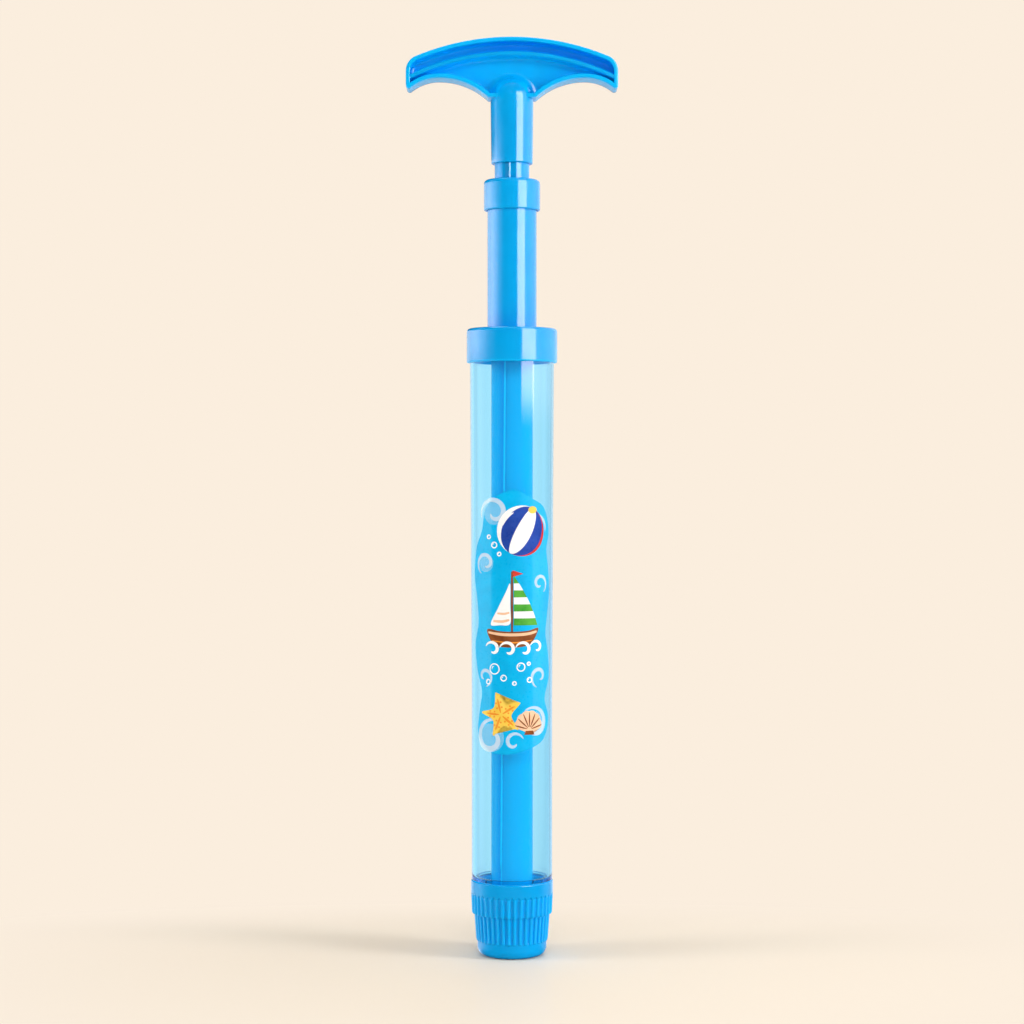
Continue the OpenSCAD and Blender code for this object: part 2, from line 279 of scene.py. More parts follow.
# Grooves of the cap gather shade and are rougher. Painted light: its ribs get a lighter blue, its inside a
# paler blue with a painted glow, and its rim a painted glow
groove_blue = plastic("blue_groove", (0.0, 0.34, 0.82), (0.0, 0.37, 0.87), 0.2, 0.35)
painted_lit_rib_blue = plastic("blue_rib_painted_lit", (0.0, 0.42, 0.93), (0.0, 0.46, 0.98), 0.14, 0.8)
painted_glow_inner_blue = plastic("blue_inside_painted_glow", (0.0, 0.58, 0.9), (0.0, 0.63, 0.95), 0.2, 0.3)
painted_glow_rim_blue = plastic("blue_rim_painted_glow", (0.0, 0.5, 0.93), (0.0, 0.55, 0.98), 0.2, 0.3)
# The painted glow stands in for light through the cap's wall and for the highlight along its rim
for m, strength in ((painted_glow_inner_blue, 0.36), (painted_glow_rim_blue, 0.6)):
    add_painted_glow(m, (0.0, 0.44, 0.75), strength)
# Painted light: an opaque pale blue for the barrel's shoulder underside, in place of the clear wall's look
# there
painted_pale_seat_blue = plastic("blue_seat_painted_pale", (0.22, 0.56, 0.82), (0.3, 0.64, 0.88), 0.4, 0.2)
rod_blue = plastic("blue_rod", (0.0, 0.37, 0.83), (0.0, 0.41, 0.89), 0.12)
# Painted shade on both sides of the rod's seam line, with the crest between left unshaded
painted_streaks(rod_blue, 0, 0, [
    (-40, 1.0), (-30, 0.85), (-16, 0.62), (-10.5, 0.6), (-9, 1.0), (-4, 1.0), (-2, 0.85), (12, 0.8),
    (20, 1.0)])
tube_blue = plastic("blue_tube", (0.0, 0.55, 0.91), (0.0, 0.59, 0.96), 0.15, 0.15, 0.04, (1, 1, 0.08))
# The lapped seam of the drawn tube has painted shade on one side and a painted highlight at its edge. It
# turns as it rises
SEAM_AT_ZERO, SEAM_PER_METRE = -31.8, 45.1
painted_streaks(tube_blue, SEAM_AT_ZERO, SEAM_PER_METRE, [
    (-34, 1.0), (-16, (1, 0.92, 0.98)), (-6, (1, 0.76, 0.93)), (-1.9, (1, 0.7, 0.92)), (-1.3, (1, 1.3, 1.08)),
    (1.1, (1, 1.3, 1.08)), (1.9, (1, 0.92, 0.97)), (14, (1, 0.97, 0.99)), (30, 1.0)])
natural = plastic("white_plastic", (0.72, 0.75, 0.77), (0.82, 0.84, 0.86), 0.42, 0.4, 0.12)
rubber = plastic("rubber", (0.018, 0.018, 0.02), (0.034, 0.034, 0.037), 0.62, 0.35, 0.3)
# The gaskets are pale, as no dark ring shows through the clear wall
pale_rubber = plastic("rubber_pale", (0.3, 0.62, 0.82), (0.38, 0.7, 0.88), 0.5, 0.3, 0.2)


def clear_plastic():
    m, nt, bsdf, out = shader("clear_plastic")
    drift = noise(nt, 30, 2, 0.5, (1, 1, 0.1))
    nt.links.new(ramp(nt, drift, [(0.3, (0.94, 0.985, 0.999)), (0.7, (0.96, 0.992, 1.0))]),
                 bsdf.inputs["Base Color"])
    nt.links.new(spread(nt, noise(nt, 240, 3), 0.012, 0.04), bsdf.inputs["Roughness"])
    bsdf.inputs["Transmission Weight"].default_value = 1.0
    bsdf.inputs["IOR"].default_value = 1.46
    # Lamps shine through the wall
    path = nt.nodes.new("ShaderNodeLightPath")
    through = nt.nodes.new("ShaderNodeBsdfTransparent")
    through.inputs["Color"].default_value = (0.97, 0.99, 1.0, 1)
    mix = nt.nodes.new("ShaderNodeMixShader")
    nt.links.new(path.outputs["Is Shadow Ray"], mix.inputs[0])
    nt.links.new(bsdf.outputs[0], mix.inputs[1])
    nt.links.new(through.outputs[0], mix.inputs[2])
    nt.links.new(mix.outputs[0], out.inputs["Surface"])
    tint = nt.nodes.new("ShaderNodeVolumeAbsorption")
    tint.inputs["Color"].default_value = (0.01, 0.77, 0.998, 1)
    tint.inputs["Density"].default_value = 262
    nt.links.new(tint.outputs[0], out.inputs["Volume"])
    return m


clear = clear_plastic()


# CAD nodes that keep their shape

for names, m in [
    (("neck_tube", "gland_collar"), blue),
    (("pump_cylinder", "cylinder_foot"), tube_blue),
    (("rod_bush", "piston"), natural),
    (("cap_gasket", "collar_gasket"), pale_rubber),
    (("check_valve", "piston_oring"), rubber),
]:
    for n in names:
        nodes[n].data.materials.clear()
        nodes[n].data.materials.append(m)


# Handle: moulded T-grip, in its own upright plane from the end of the stem

STEM_Z = 394.8
HALF_W, CROWN_R, CROWN_Y, CORNER_R = 52.8, 125.0, -62.5, 8.0
CORNER_X = HALF_W - CORNER_R
CORNER = (CORNER_X, CROWN_Y + math.sqrt((CROWN_R - CORNER_R) ** 2 - CORNER_X ** 2))
ARCH_X, OUTER_Y, OUTER_R, INNER_Y, INNER_R = 36.5, 20.1, 22.0, 6.1, 36.0
ROOT_Y = 32.4
TIP_R = 1.5
TIP = (HALF_W - TIP_R, OUTER_Y + math.sqrt((OUTER_R + TIP_R) ** 2 - (HALF_W - TIP_R - ARCH_X) ** 2))
# Web, flange with its lip, curved rib, stem, dome, and the channel above the rib, where shade is painted
WEB_Y, WEB_FILLET = 1.2, 1.7
FLANGE_Y, FLANGE_ROOT, FLANGE_LIP, LIP_IN_R, LIP_OUT_R = 8.0, 2.2, 2.05, 0.5, 0.75
RIB_R, RIB_TURN, RIB_CREST = 116.8, 26.0, 6.9
RIB_Y, RIB_HALF, RIB_FILLET = 7.6, 1.1, 1.5
STEM_R, STEM_EDGE, STEM_BORE_R, STEM_BORE_Z, STEM_SEGS = 10.35, 0.5, 8.7, 24.0, 96
DOME_R, DOME_FILLET, DOME_PLAIN_Y, DOME_HALF_LIT_Y = 10.7, 4.0, 7.4, 5.2
CHANNEL_GAP, CHANNEL_Y = 0.7, 5.5
# Slots of the grip: plain blue, painted lighter blue and painted half-lit blue
PLAIN_BLUE, PAINTED_LIT, PAINTED_HALF_LIT = range(3)
# Steps round a quarter turn
QUARTER = (0.3, 0.6, 0.9, 1.2, math.pi / 2)


def half_outline(d):
    """Right half of the outline, set in by d"""
    turn = math.degrees(math.atan2(CORNER[1] - CROWN_Y, CORNER[0]))
    pts = arc(0, CROWN_Y, CROWN_R - d, 90, turn, 44)
    pts += arc(CORNER[0], CORNER[1], CORNER_R - d, turn, 0, 12)[1:]
    touch = math.degrees(math.atan2(TIP[1] - OUTER_Y, TIP[0] - ARCH_X))
    if d < TIP_R:
        low = TIP[1]
        tip = arc(TIP[0], TIP[1], TIP_R - d, 0, touch - 180, 10)
    else:
        x = HALF_W - d
        low = OUTER_Y + math.sqrt((OUTER_R + d) ** 2 - (x - ARCH_X) ** 2)
        touch = math.degrees(math.atan2(low - OUTER_Y, x - ARCH_X))
        tip = [(x, low)] * 11
    end = [(HALF_W - d, CORNER[1] + (low - CORNER[1]) * i / 5) for i in range(1, 5)]
    pts += end + tip
    pts += arc(ARCH_X, OUTER_Y, OUTER_R + d, touch, 90, 24)[1:]
    foot = 180 - math.degrees(math.asin((ROOT_Y + d - INNER_Y) / (INNER_R + d)))
    pts += arc(ARCH_X, INNER_Y, INNER_R + d, 90, foot, 30)[1:]
    x = pts[-1][0]
    pts += [(x * (1 - i / 4), ROOT_Y + d) for i in range(1, 5)]
    return pts


def outline(d):
    right = half_outline(d)
    left = [(-u, v) for u, v in right[-2:0:-1]]
    return right + left


def flange():
    """Wall round the outline with its web fillet and rounded lip, drawn as (distance in, y)"""
    in_d, in_y = FLANGE_ROOT + WEB_FILLET, -WEB_Y - WEB_FILLET
    front = [(in_d + 0.7, -WEB_Y)]
    front += [(in_d - WEB_FILLET * math.sin(t), in_y + WEB_FILLET * math.cos(t)) for t in (0, *QUARTER)]
    front += [(2.15, -5.0), (FLANGE_LIP, -7.4)]
    lip_d, lip_y = FLANGE_LIP - LIP_IN_R, LIP_IN_R - FLANGE_Y
    front += [(lip_d + LIP_IN_R * math.cos(t), lip_y - LIP_IN_R * math.sin(t))
              for t in (0.3, 0.7, 1.1, math.pi / 2)]
    front += [(1.1, -FLANGE_Y)]
    front += [(LIP_OUT_R - LIP_OUT_R * math.sin(t), LIP_OUT_R - FLANGE_Y - LIP_OUT_R * math.cos(t))
              for t in (0, 0.35, 0.7, 1.05, math.pi / 2)]
    front += [(0.0, -4.0)]
    section = front + [(d, -y) for d, y in reversed(front)]
    return loft([[(u, y, v + STEM_Z) for u, v in outline(d)] for d, y in section])


def curved_rib():
    foot_y = -WEB_Y - RIB_FILLET
    side = [(0.45, -RIB_Y), (0.7, 0.07 - RIB_Y), (0.9, 0.26 - RIB_Y), (1.02, 0.6 - RIB_Y), (RIB_HALF, foot_y)]
    side += [(RIB_HALF + RIB_FILLET - RIB_FILLET * math.cos(t), foot_y + RIB_FILLET * math.sin(t))
             for t in QUARTER]
    side += [(a, -b) for a, b in reversed(side)]
    section = side + [(-a, b) for a, b in reversed(side)]
    loops = []
    for i in range(81):
        t = math.radians(RIB_TURN * (i / 40 - 1))
        loops.append([
            ((RIB_R + a) * math.sin(t), y, CROWN_Y + (RIB_R + a) * math.cos(t) + STEM_Z) for a, y in section
        ])
    verts, faces = loft(loops)
    # Only the crest keeps the plain blue; the rest of the rib gets the painted lighter blue
    slots = [PLAIN_BLUE if min(abs(verts[i][1]) for i in face) > RIB_CREST else PAINTED_LIT for face in faces]
    return verts, faces, slots


def stem():
    edge_r = STEM_R - STEM_EDGE
    profile = [(STEM_BORE_R, STEM_BORE_Z), (STEM_BORE_R, 0.35), (STEM_BORE_R + 0.25, 0.0), (edge_r, 0.0)]
    profile += arc(edge_r, STEM_EDGE, STEM_EDGE, -90, 0, 5)[1:]
    profile += [(10.36, 2.0), (10.52, 16.0), (10.68, 31.0)]
    profile += arc(0, ROOT_Y, DOME_R, 0, 88, 22)
    verts, faces = lathe(profile, STEM_SEGS, closed=False)
    faces.append(tuple(range(len(verts) - STEM_SEGS, len(verts))))
    faces.append(tuple(range(STEM_SEGS)))
    # The dome passes into the web in painted steps of lighter blue
    slots = []
    for face in faces:
        out = min(abs(verts[i][1]) for i in face)
        dome = min(verts[i][2] for i in face) > ROOT_Y - 0.1
        slots.append(PLAIN_BLUE if not dome or out > DOME_PLAIN_Y else PAINTED_HALF_LIT if out > DOME_HALF_LIT_Y else PAINTED_LIT)
    return [(x, y, z + STEM_Z) for x, y, z in verts], faces, slots


def dome_fillet(side):
    """Fillet that touches the web and the dome, with its back sunk in both"""
    sunk_y, sunk_r = 0.9, 9.5
    high = WEB_Y + DOME_FILLET
    far = math.sqrt((DOME_R + DOME_FILLET) ** 2 - high ** 2)
    last = math.atan2(far, high)
    loops = []
    for i in range(49):
        t = math.radians(8 + 164 * i / 48)
        row = [(far + 0.07, sunk_y), (far, WEB_Y - 0.005)]
        row += [(far - DOME_FILLET * math.sin(last * k / 9), high - DOME_FILLET * math.cos(last * k / 9))
                for k in range(1, 10)]
        row += [(sunk_r, 3.2), (sunk_r, sunk_y)]
        loops.append([(r * math.cos(t), side * y, ROOT_Y + r * math.sin(t) + STEM_Z) for r, y in row])
    return loft(loops)


def painted_channel_shade(m):
    """Painted shade in the channel above the rib, less at its left end"""
    nt = m.node_tree
    bsdf = principled(m)
    base = bsdf.inputs["Base Color"].links[0].from_socket
    co = nt.nodes.new("ShaderNodeTexCoord")
    at = nt.nodes.new("ShaderNodeSeparateXYZ")
    nt.links.new(co.outputs["Object"], at.inputs[0])
    across = at.outputs["X"]
    rise = node_math(nt, "SUBTRACT", at.outputs["Z"], (CROWN_Y + STEM_Z) * MM)
    square = node_math(nt, "MULTIPLY_ADD", rise, rise, node_math(nt, "MULTIPLY", across, across))
    over = node_math(nt, "GREATER_THAN", square, ((RIB_R + CHANNEL_GAP) * MM) ** 2)
    deep = node_math(nt, "LESS_THAN", node_math(nt, "ABSOLUTE", at.outputs["Y"]), CHANNEL_Y * MM)
    along = node_math(nt, "MULTIPLY_ADD", across, 10.0, 0.5)
    painted_tone = ramp(nt, along, [(0.12, (1, 1, 1)), (0.45, (1, 0.75, 0.97))])
    shaded = node_mix(nt, node_math(nt, "MULTIPLY", over, deep), base, node_tint(nt, base, painted_tone))
    nt.links.new(shaded, bsdf.inputs["Base Color"])


# Painted shade in the grip's channel
painted_channel_shade(painted_lit_blue)
wall, fillets = flange(), join([dome_fillet(1), dome_fillet(-1)])
*rib, rib_slots = curved_rib()
*post, post_slots = stem()
verts, faces = join([wall, rib, post, fillets])
# The flange walls and the dome's fillets get the painted lighter blue
slots = [PAINTED_LIT] * len(wall[1]) + rib_slots + post_slots + [PAINTED_LIT] * len(fillets[1])
grip = add_piece("grip", verts, faces, [blue, painted_lit_blue, painted_half_lit_blue], slots)
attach(grip, "plunger")
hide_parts("handle")


# Nozzle cap: two rows of round ribs

RIBS, PER_RIB = 40, 16
# Lower row: radius of its spacing, wall and rib at the foot, draft from a height up, round start of the ribs
LOW_R, LOW_BASE, LOW_RIB, LOW_DRAFT, LOW_Z, LOW_END, LOW_END_R = 17.6, 17.25, 0.65, 0.95, 8, 8.8, 1.6
# Upper row, from the step up, and the arched ends of its grooves
STEP_Z, HIGH_R, HIGH_BASE, HIGH_DRAFT, HIGH_RUN = 21, 20, 19.35, 0.45, 10.1
GROOVE_END, GROOVE_ARCH, GROOVE_RUN_OUT = 29.6, 0.95, 1.05
# Half of a rib's width, the same with its foot, and the depth of the grooves
CAP_RIB_HALF, CAP_RIB_FOOT, GROOVE_DEEP = 0.8, 0.9, 0.35
# Foot, rim, inside and jet
FOOT_EDGE, RIM_R, RIM_Z, RIM_EDGE, RIM_BEVEL = 4.5, 20.45, 37.4, 0.5, 0.3
CAP_BORE_R, CAP_SEAT_R, CAP_SEAT_Z, CAP_FLOOR_Z = 18.6, 14.8, 21.5, 4.6
JET_R, JET_Z, RECESS_R, RECESS_Z = 1.5, 3.4, 6.5, 0.8
# Slots of the cap: plain, groove, painted glow inside, painted lighter ribs, painted glow at the rim
SHELL, GROOVE, GLOW_INSIDE, LIT_RIB, GLOW_RIM = range(5)


def rib_height(i, r):
    """Height of the rib over the groove's floor, 0 to 1"""
    across = abs((i % PER_RIB) / PER_RIB - 0.5)
    x = across * 2 * math.pi * r / RIBS
    return math.sqrt(max(1 - (x / CAP_RIB_HALF) ** 2, 0))


def groove_place(i, r):
    """1 in the middle of a groove, 0 at its edges"""
    across = (i % PER_RIB) / PER_RIB
    gap = min(across, 1 - across) * 2 * math.pi * r / RIBS
    half = math.pi * r / RIBS - CAP_RIB_FOOT
    return math.sqrt(max(1 - (gap / half) ** 2, 0))


def cap_mesh():
    segs = RIBS * PER_RIB
    rows, slots = [], []

    def plain(r, z, slot=SHELL):
        rows.append([(r, z)] * segs)
        slots.extend([slot] * segs)

    def ribbed(row, groove, rib):
        rows.append(row)
        slots.extend([groove if i % PER_RIB < 4 or i % PER_RIB > 11 else rib for i in range(segs)])

    foot = [(RECESS_R, 0.0), (RECESS_R + 0.2, 0.0), (12.2, 0.0)]
    foot += arc(LOW_BASE - FOOT_EDGE, FOOT_EDGE, FOOT_EDGE, -90, 0, 12) + [(LOW_BASE, 6.4)]
    for r, z in foot:
        plain(r, z)
    for z in (7.2, 7.35, 7.5, 7.7, 7.95, 8.3, 8.8, 10.0, 13.0, 16.5, 19.5, 20.6, 21.0):
        base = LOW_BASE + LOW_DRAFT * max(z - LOW_Z, 0) / (STEP_Z - LOW_Z)
        grow = math.sqrt(max(1 - ((LOW_END - min(z, LOW_END)) / LOW_END_R) ** 2, 0))
        deep = GROOVE_DEEP * smooth(7.5, 9.2, z)
        row = [(base - deep + (LOW_RIB + deep) * min(rib_height(i, LOW_R), grow), z) for i in range(segs)]
        ribbed(row, *((GROOVE, LIT_RIB) if z > 7.9 else (SHELL, SHELL)))
    for drop, rise in ((0.3, 0.0), (0.09, 0.09), (0.0, 0.3)):
        step_r = HIGH_BASE - GROOVE_DEEP - drop
        ribbed([(step_r + rib_height(i, HIGH_R), STEP_Z + rise) for i in range(segs)], GROOVE, LIT_RIB)
    for z in (22.5, 25.0, 28.0, 29.4, 29.8, 30.0, 30.2, 30.4, 30.6, 30.8, 31.0, 31.15, 31.3, 31.45, 31.6):
        base = HIGH_BASE + HIGH_DRAFT * min(z - STEP_Z, HIGH_RUN) / HIGH_RUN
        row = []
        for i in range(segs):
            end = GROOVE_END + GROOVE_ARCH * groove_place(i, HIGH_R)
            filled = smooth(end, end + GROOVE_RUN_OUT, z)
            row.append((base - GROOVE_DEEP + max(rib_height(i, HIGH_R), filled), z))
        # The grooves run out softly: their ends take the painted lighter rib blue over the shade, so no dark
        # ends show
        look = (SHELL, SHELL)
        for top, pair in ((31.1, (LIT_RIB, SHELL)), (30.3, (LIT_RIB, LIT_RIB)), (29.3, (GROOVE, LIT_RIB))):
            if z < top:
                look = pair
        ribbed(row, *look)
    plain(RIM_R, 32.4)
    plain(RIM_R, 36.6)
    rim = arc(RIM_R - RIM_EDGE, RIM_Z - RIM_EDGE, RIM_EDGE, 0, 90, 5)
    for r, z in rim[:-1]:
        plain(r, z)
    # The rim's top edge takes the painted glow, a painted highlight line
    for r, z in (rim[-1], (CAP_BORE_R + RIM_BEVEL, RIM_Z)):
        plain(r, z, GLOW_RIM)
    bore = [(CAP_BORE_R, RIM_Z - RIM_BEVEL), (CAP_BORE_R, CAP_SEAT_Z)]
    bore += [(CAP_SEAT_R, CAP_SEAT_Z), (CAP_SEAT_R, CAP_FLOOR_Z)]
    # The inside takes the painted glow
    for r, z in bore:
        plain(r, z, GLOW_INSIDE)
    jet = [(2 * JET_R, JET_Z), (JET_R, JET_Z), (JET_R, RECESS_Z)]
    recess = [(RECESS_R - 0.2, RECESS_Z), (RECESS_R, RECESS_Z - 0.2)]
    for r, z in jet + recess:
        plain(r, z)
    loops = [[around(i, segs, r, z) for i, (r, z) in enumerate(row)] for row in rows]
    return *bridge(loops, close_rows=True), slots


verts, faces, slots = cap_mesh()
cap_blues = [blue, groove_blue, painted_glow_inner_blue, painted_lit_rib_blue, painted_glow_rim_blue]
cap = add_piece("ribbed_cap", verts, faces, cap_blues, slots, sharp=60)
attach(cap, "cap")
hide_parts("nozzle_cap")


# Clear barrel with the thread of its mouth

BARREL_SEGS, BARREL_WALL, BARREL_EDGE = 192, 1.6, 0.3
BARREL_R, TAPER_Z, TAPER_RUN = 20.05, 127.7, 180
TOP_R, TOP_Z, TOP_BEVEL = 21.05, 307.7, 0.25
MOUTH_R, MOUTH_BORE_R, MOUTH_Z = 17.9, 16.6, 23.4
# Shoulder: its underside, the fillet there and its upper side
SHOULDER_Z, SHOULDER_FILLET, SILL_Z = 37.7, 0.4, 39.27


def barrel_r(z):
    return BARREL_R + max(z - TAPER_Z, 0) / TAPER_RUN


def barrel_mesh():
    profile = [(MOUTH_BORE_R, MOUTH_Z + 0.2), (MOUTH_BORE_R + 0.2, MOUTH_Z)]
    profile += [(MOUTH_R - BARREL_EDGE, MOUTH_Z), (MOUTH_R, MOUTH_Z + BARREL_EDGE), (MOUTH_R, 30.0)]
    profile += [(MOUTH_R, SHOULDER_Z - SHOULDER_FILLET), (MOUTH_R + 0.12, SHOULDER_Z - 0.12)]
    profile += [(MOUTH_R + SHOULDER_FILLET, SHOULDER_Z)]
    profile += arc(BARREL_R - BARREL_EDGE, SHOULDER_Z + BARREL_EDGE, BARREL_EDGE, -90, 0, 5)
    wall = [(barrel_r(z), z) for z in (80.0, 126.5, 129.0, 154.7, 226.7, 305.9)]
    wall += [(TOP_R, TOP_Z - BARREL_EDGE)]
    profile += [(BARREL_R, 39.5)] + wall
    profile += [(TOP_R - TOP_BEVEL, TOP_Z), (TOP_R - BARREL_WALL + TOP_BEVEL, TOP_Z)]
    profile += [(r - BARREL_WALL, z) for r, z in reversed(wall)]
    bore_r = BARREL_R - BARREL_WALL
    profile += [(bore_r, 41.0), (bore_r, 39.6), (bore_r - 0.07, 39.37), (bore_r - 0.25, 39.29)]
    profile += [(17.5, SILL_Z), (MOUTH_BORE_R + 0.2, SILL_Z), (MOUTH_BORE_R + 0.06, SILL_Z - 0.06)]
    profile += [(MOUTH_BORE_R, SILL_Z - 0.2), (MOUTH_BORE_R, 30.0)]
    return lathe(profile, BARREL_SEGS)


def mouth_thread():
    loops = []
    turns, lead, steps, taper = 2.25, 4.2, 162, 12
    first_z, root_r, height, root_half, crest_half = 25.8, 17.8, 0.55, 0.9, 0.45
    for i in range(steps + 1):
        t = 2 * math.pi * turns * i / steps
        grow = min(1, i / taper, (steps - i) / taper)
        z = first_z + lead * turns * i / steps
        crest_r = root_r + height * grow
        row = [(root_r, z - root_half), (crest_r, z - crest_half)]
        row += [(crest_r, z + crest_half), (root_r, z + root_half)]
        loops.append([(r * math.cos(t), r * math.sin(t), h) for r, h in row])
    verts, faces = bridge(loops)
    faces.append((3, 2, 1, 0))
    n = len(verts)
    faces.append((n - 4, n - 3, n - 2, n - 1))
    return verts, faces


# The underside of the shoulder, which sits on the cap, is matt and painted an opaque pale blue, standing in
# for light seen through the clear foot
SEAT_ROWS = range(5, 8)
verts, faces = join([barrel_mesh(), mouth_thread()])
slots = [1 if i // BARREL_SEGS in SEAT_ROWS else 0 for i in range(len(faces))]
barrel = add_piece("clear_barrel", verts, faces, [clear, painted_pale_seat_blue], slots, sharp=40)
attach(barrel, "bottle")
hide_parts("barrel")


# Collar on the barrel, with a painted glow inside and a painted lighter blue at its lip

COLLAR_SEGS, COLLAR_R, COLLAR_Z0, COLLAR_Z1 = 144, 22.63, 295.5, 312.5
COLLAR_LIP, COLLAR_ROUND, COLLAR_BORE_R, COLLAR_CEILING_Z = 0.5, 1.6, 21.1, 309.2
# Hub that holds the neck and the pump cylinder
HUB_R, HUB_Z, HUB_EDGE, CYLINDER_R = 14.15, 301.2, 0.3, 10.45
NECK_R, NECK_SEAT_Z, NECK_EDGE = 12.35, 303.6, 0.25


def collar_mesh():
    outside = arc(COLLAR_R - COLLAR_LIP, COLLAR_Z0 + COLLAR_LIP, COLLAR_LIP, -90, 0, 5)
    lip = len(outside)
    outside += [(COLLAR_R, 296.4), (COLLAR_R, 303.0), (COLLAR_R, 310.5)]
    outside += arc(COLLAR_R - COLLAR_ROUND, COLLAR_Z1 - COLLAR_ROUND, COLLAR_ROUND, 0, 90, 10)
    outside += [(20.6, COLLAR_Z1), (NECK_R + NECK_EDGE, COLLAR_Z1), (NECK_R, COLLAR_Z1 - NECK_EDGE)]
    outside += [(NECK_R, NECK_SEAT_Z)]
    inside = [(CYLINDER_R, NECK_SEAT_Z), (CYLINDER_R, HUB_Z), (HUB_R - HUB_EDGE, HUB_Z)]
    inside += [(HUB_R, HUB_Z + HUB_EDGE), (HUB_R, COLLAR_CEILING_Z), (COLLAR_BORE_R, COLLAR_CEILING_Z)]
    inside += [(COLLAR_BORE_R, COLLAR_Z0 + 0.2), (COLLAR_BORE_R + 0.2, COLLAR_Z0)]
    verts, faces = lathe(outside + inside, COLLAR_SEGS)
    # Slots by row: the painted lighter blue at the lip, plain blue outside, the painted glow inside
    by_row = [2] * lip + [0] * (len(outside) - lip) + [1] * len(inside)
    return verts, faces, [by_row[i // COLLAR_SEGS] for i in range(len(faces))]


verts, faces, slots = collar_mesh()
collar = add_piece("top_collar", verts, faces, [blue, painted_glow_inner_blue, painted_lit_blue], slots, sharp=30)
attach(collar, "bottle")
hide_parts("barrel_collar")


# Lapped seam along the pump cylinder, and the seam of the pump rod

SEAM_R, SEAM_Z0, SEAM_Z1, SEAM_RUN_OUT = 10.4, 42, 299, 3
ROD_R, ROD_BORE_R, ROD_Z0, ROD_Z1, ROD_BEVEL = 8.65, 7.35, 46.1, 418.8, 0.2


def seam_turn(z):
    return math.radians(SEAM_AT_ZERO + SEAM_PER_METRE * z * MM)


def seam():
    lap = [(-4.6, -0.1), (-4.4, 0.0), (-3.4, 0.1), (-2.4, 0.27), (-1.5, 0.48), (-0.7, 0.7), (-0.35, 0.76),
           (-0.1, 0.72), (0.1, 0.58), (0.3, 0.2), (0.42, 0.0), (0.5, -0.1)]
    loops = []
    for i in range(61):
        z = SEAM_Z0 + (SEAM_Z1 - SEAM_Z0) * i / 60
        grow = min(1, (z - SEAM_Z0) / SEAM_RUN_OUT, (SEAM_Z1 - z) / SEAM_RUN_OUT)
        row = []
        for s, h in lap:
            a = seam_turn(z) + s / SEAM_R
            r = SEAM_R + (h * grow if h > 0 else h) - 0.02
            row.append((r * math.sin(a), -r * math.cos(a), z))
        loops.append(row)
    return loft(loops)


verts, faces = seam()
line = add_piece("cylinder_seam", verts, faces, [tube_blue])
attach(line, "bottle")


def rod():
    dip = [(-34, 0.0), (-31, 0.06), (-28, 0.16), (-25, 0.22), (-22, 0.24), (-19, 0.2), (-16, 0.13),
           (-13, 0.04), (-11, 0.0), (-10.3, 0.02), (-9.4, 0.1), (-7.5, 0.25), (-5.6, 0.4), (-4.6, 0.46),
           (-3.4, 0.47), (0, 0.38), (4, 0.26), (8, 0.13), (11, 0.05), (14, 0.0)]
    first, last = dip[0][0], dip[-1][0]
    ring_at = [(math.radians(a), ROD_R - d) for a, d in dip]
    ring_at += [(math.radians(last + (360 + first - last) * i / 90), ROD_R) for i in range(1, 90)]
    loops = []
    for z in (ROD_Z0, ROD_Z0 + 0.4, ROD_Z0 + 1.4, 240.0, ROD_Z1 - 1.4, ROD_Z1 - 0.4, ROD_Z1):
        edge = ROD_BEVEL if z in (ROD_Z0, ROD_Z1) else 0
        loops.append([((r - edge) * math.sin(a), -(r - edge) * math.cos(a), z) for a, r in ring_at])
    for z in (ROD_Z1, ROD_Z0):
        loops.append([(ROD_BORE_R * math.sin(a), -ROD_BORE_R * math.cos(a), z) for a, _ in ring_at])
    return bridge(loops, close_rows=True)


verts, faces = rod()
pump_rod = add_piece("pump_rod", verts, faces, [rod_blue], sharp=30)
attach(pump_rod, "plunger")
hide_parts("plunger_rod")


# Print on the barrel, drawn flat as (millimetres round, height) and wrapped

WRAP_R, STRIP, LAYER = 20.4, 1.2, 0.03


def on_barrel(s, z, lift):
    r = barrel_r(z) + lift
    return (r * math.sin(s / WRAP_R), -r * math.cos(s / WRAP_R), z)


def cut(bm, point, normal):
    bmesh.ops.bisect_plane(bm, geom=bm.verts[:] + bm.edges[:] + bm.faces[:], dist=1e-5,
                           plane_co=point, plane_no=normal)


def wrap(shapes):
    verts, faces, slots = [], [], []
    for flat, polys, lift, slot in shapes:
        bm = bmesh.new()
        vs = [bm.verts.new((a, b, 0)) for a, b in flat]
        for p in polys:
            bm.faces.new([vs[i] for i in p])
        bmesh.ops.triangulate(bm, faces=bm.faces[:])
        low, high = min(a for a, b in flat), max(a for a, b in flat)
        for k in range(int(low // STRIP), int(high // STRIP) + 1):
            cut(bm, (k * STRIP, 0, 0), (1, 0, 0))
        cut(bm, (0, TAPER_Z, 0), (0, 1, 0))
        bm.verts.index_update()
        n = len(verts)
        verts += [on_barrel(v.co.x, v.co.y, lift) for v in bm.verts]
        for f in bm.faces:
            f.normal_update()
            ids = [n + v.index for v in f.verts]
            faces.append(tuple(ids if f.normal.z > 0 else ids[::-1]))
            slots.append(slot)
        bm.free()
    return verts, faces, slots


def curve(points, n=8, closed=True):
    """Smooth curve through the points"""
    out = []
    m = len(points)
    for i in range(m if closed else m - 1):
        p = [points[(i + k) % m] if closed else points[min(max(i + k, 0), m - 1)] for k in (-1, 0, 1, 2)]
        for j in range(n):
            t = j / n
            out.append(tuple(
                0.5 * (2 * p[1][c] + (p[2][c] - p[0][c]) * t
                       + (2 * p[0][c] - 5 * p[1][c] + 4 * p[2][c] - p[3][c]) * t * t
                       + (3 * p[1][c] - p[0][c] - 3 * p[2][c] + p[3][c]) * t ** 3)
                for c in (0, 1)))
    return out if closed else out + [points[-1]]


def fill(points):
    return points, [tuple(range(len(points)))]


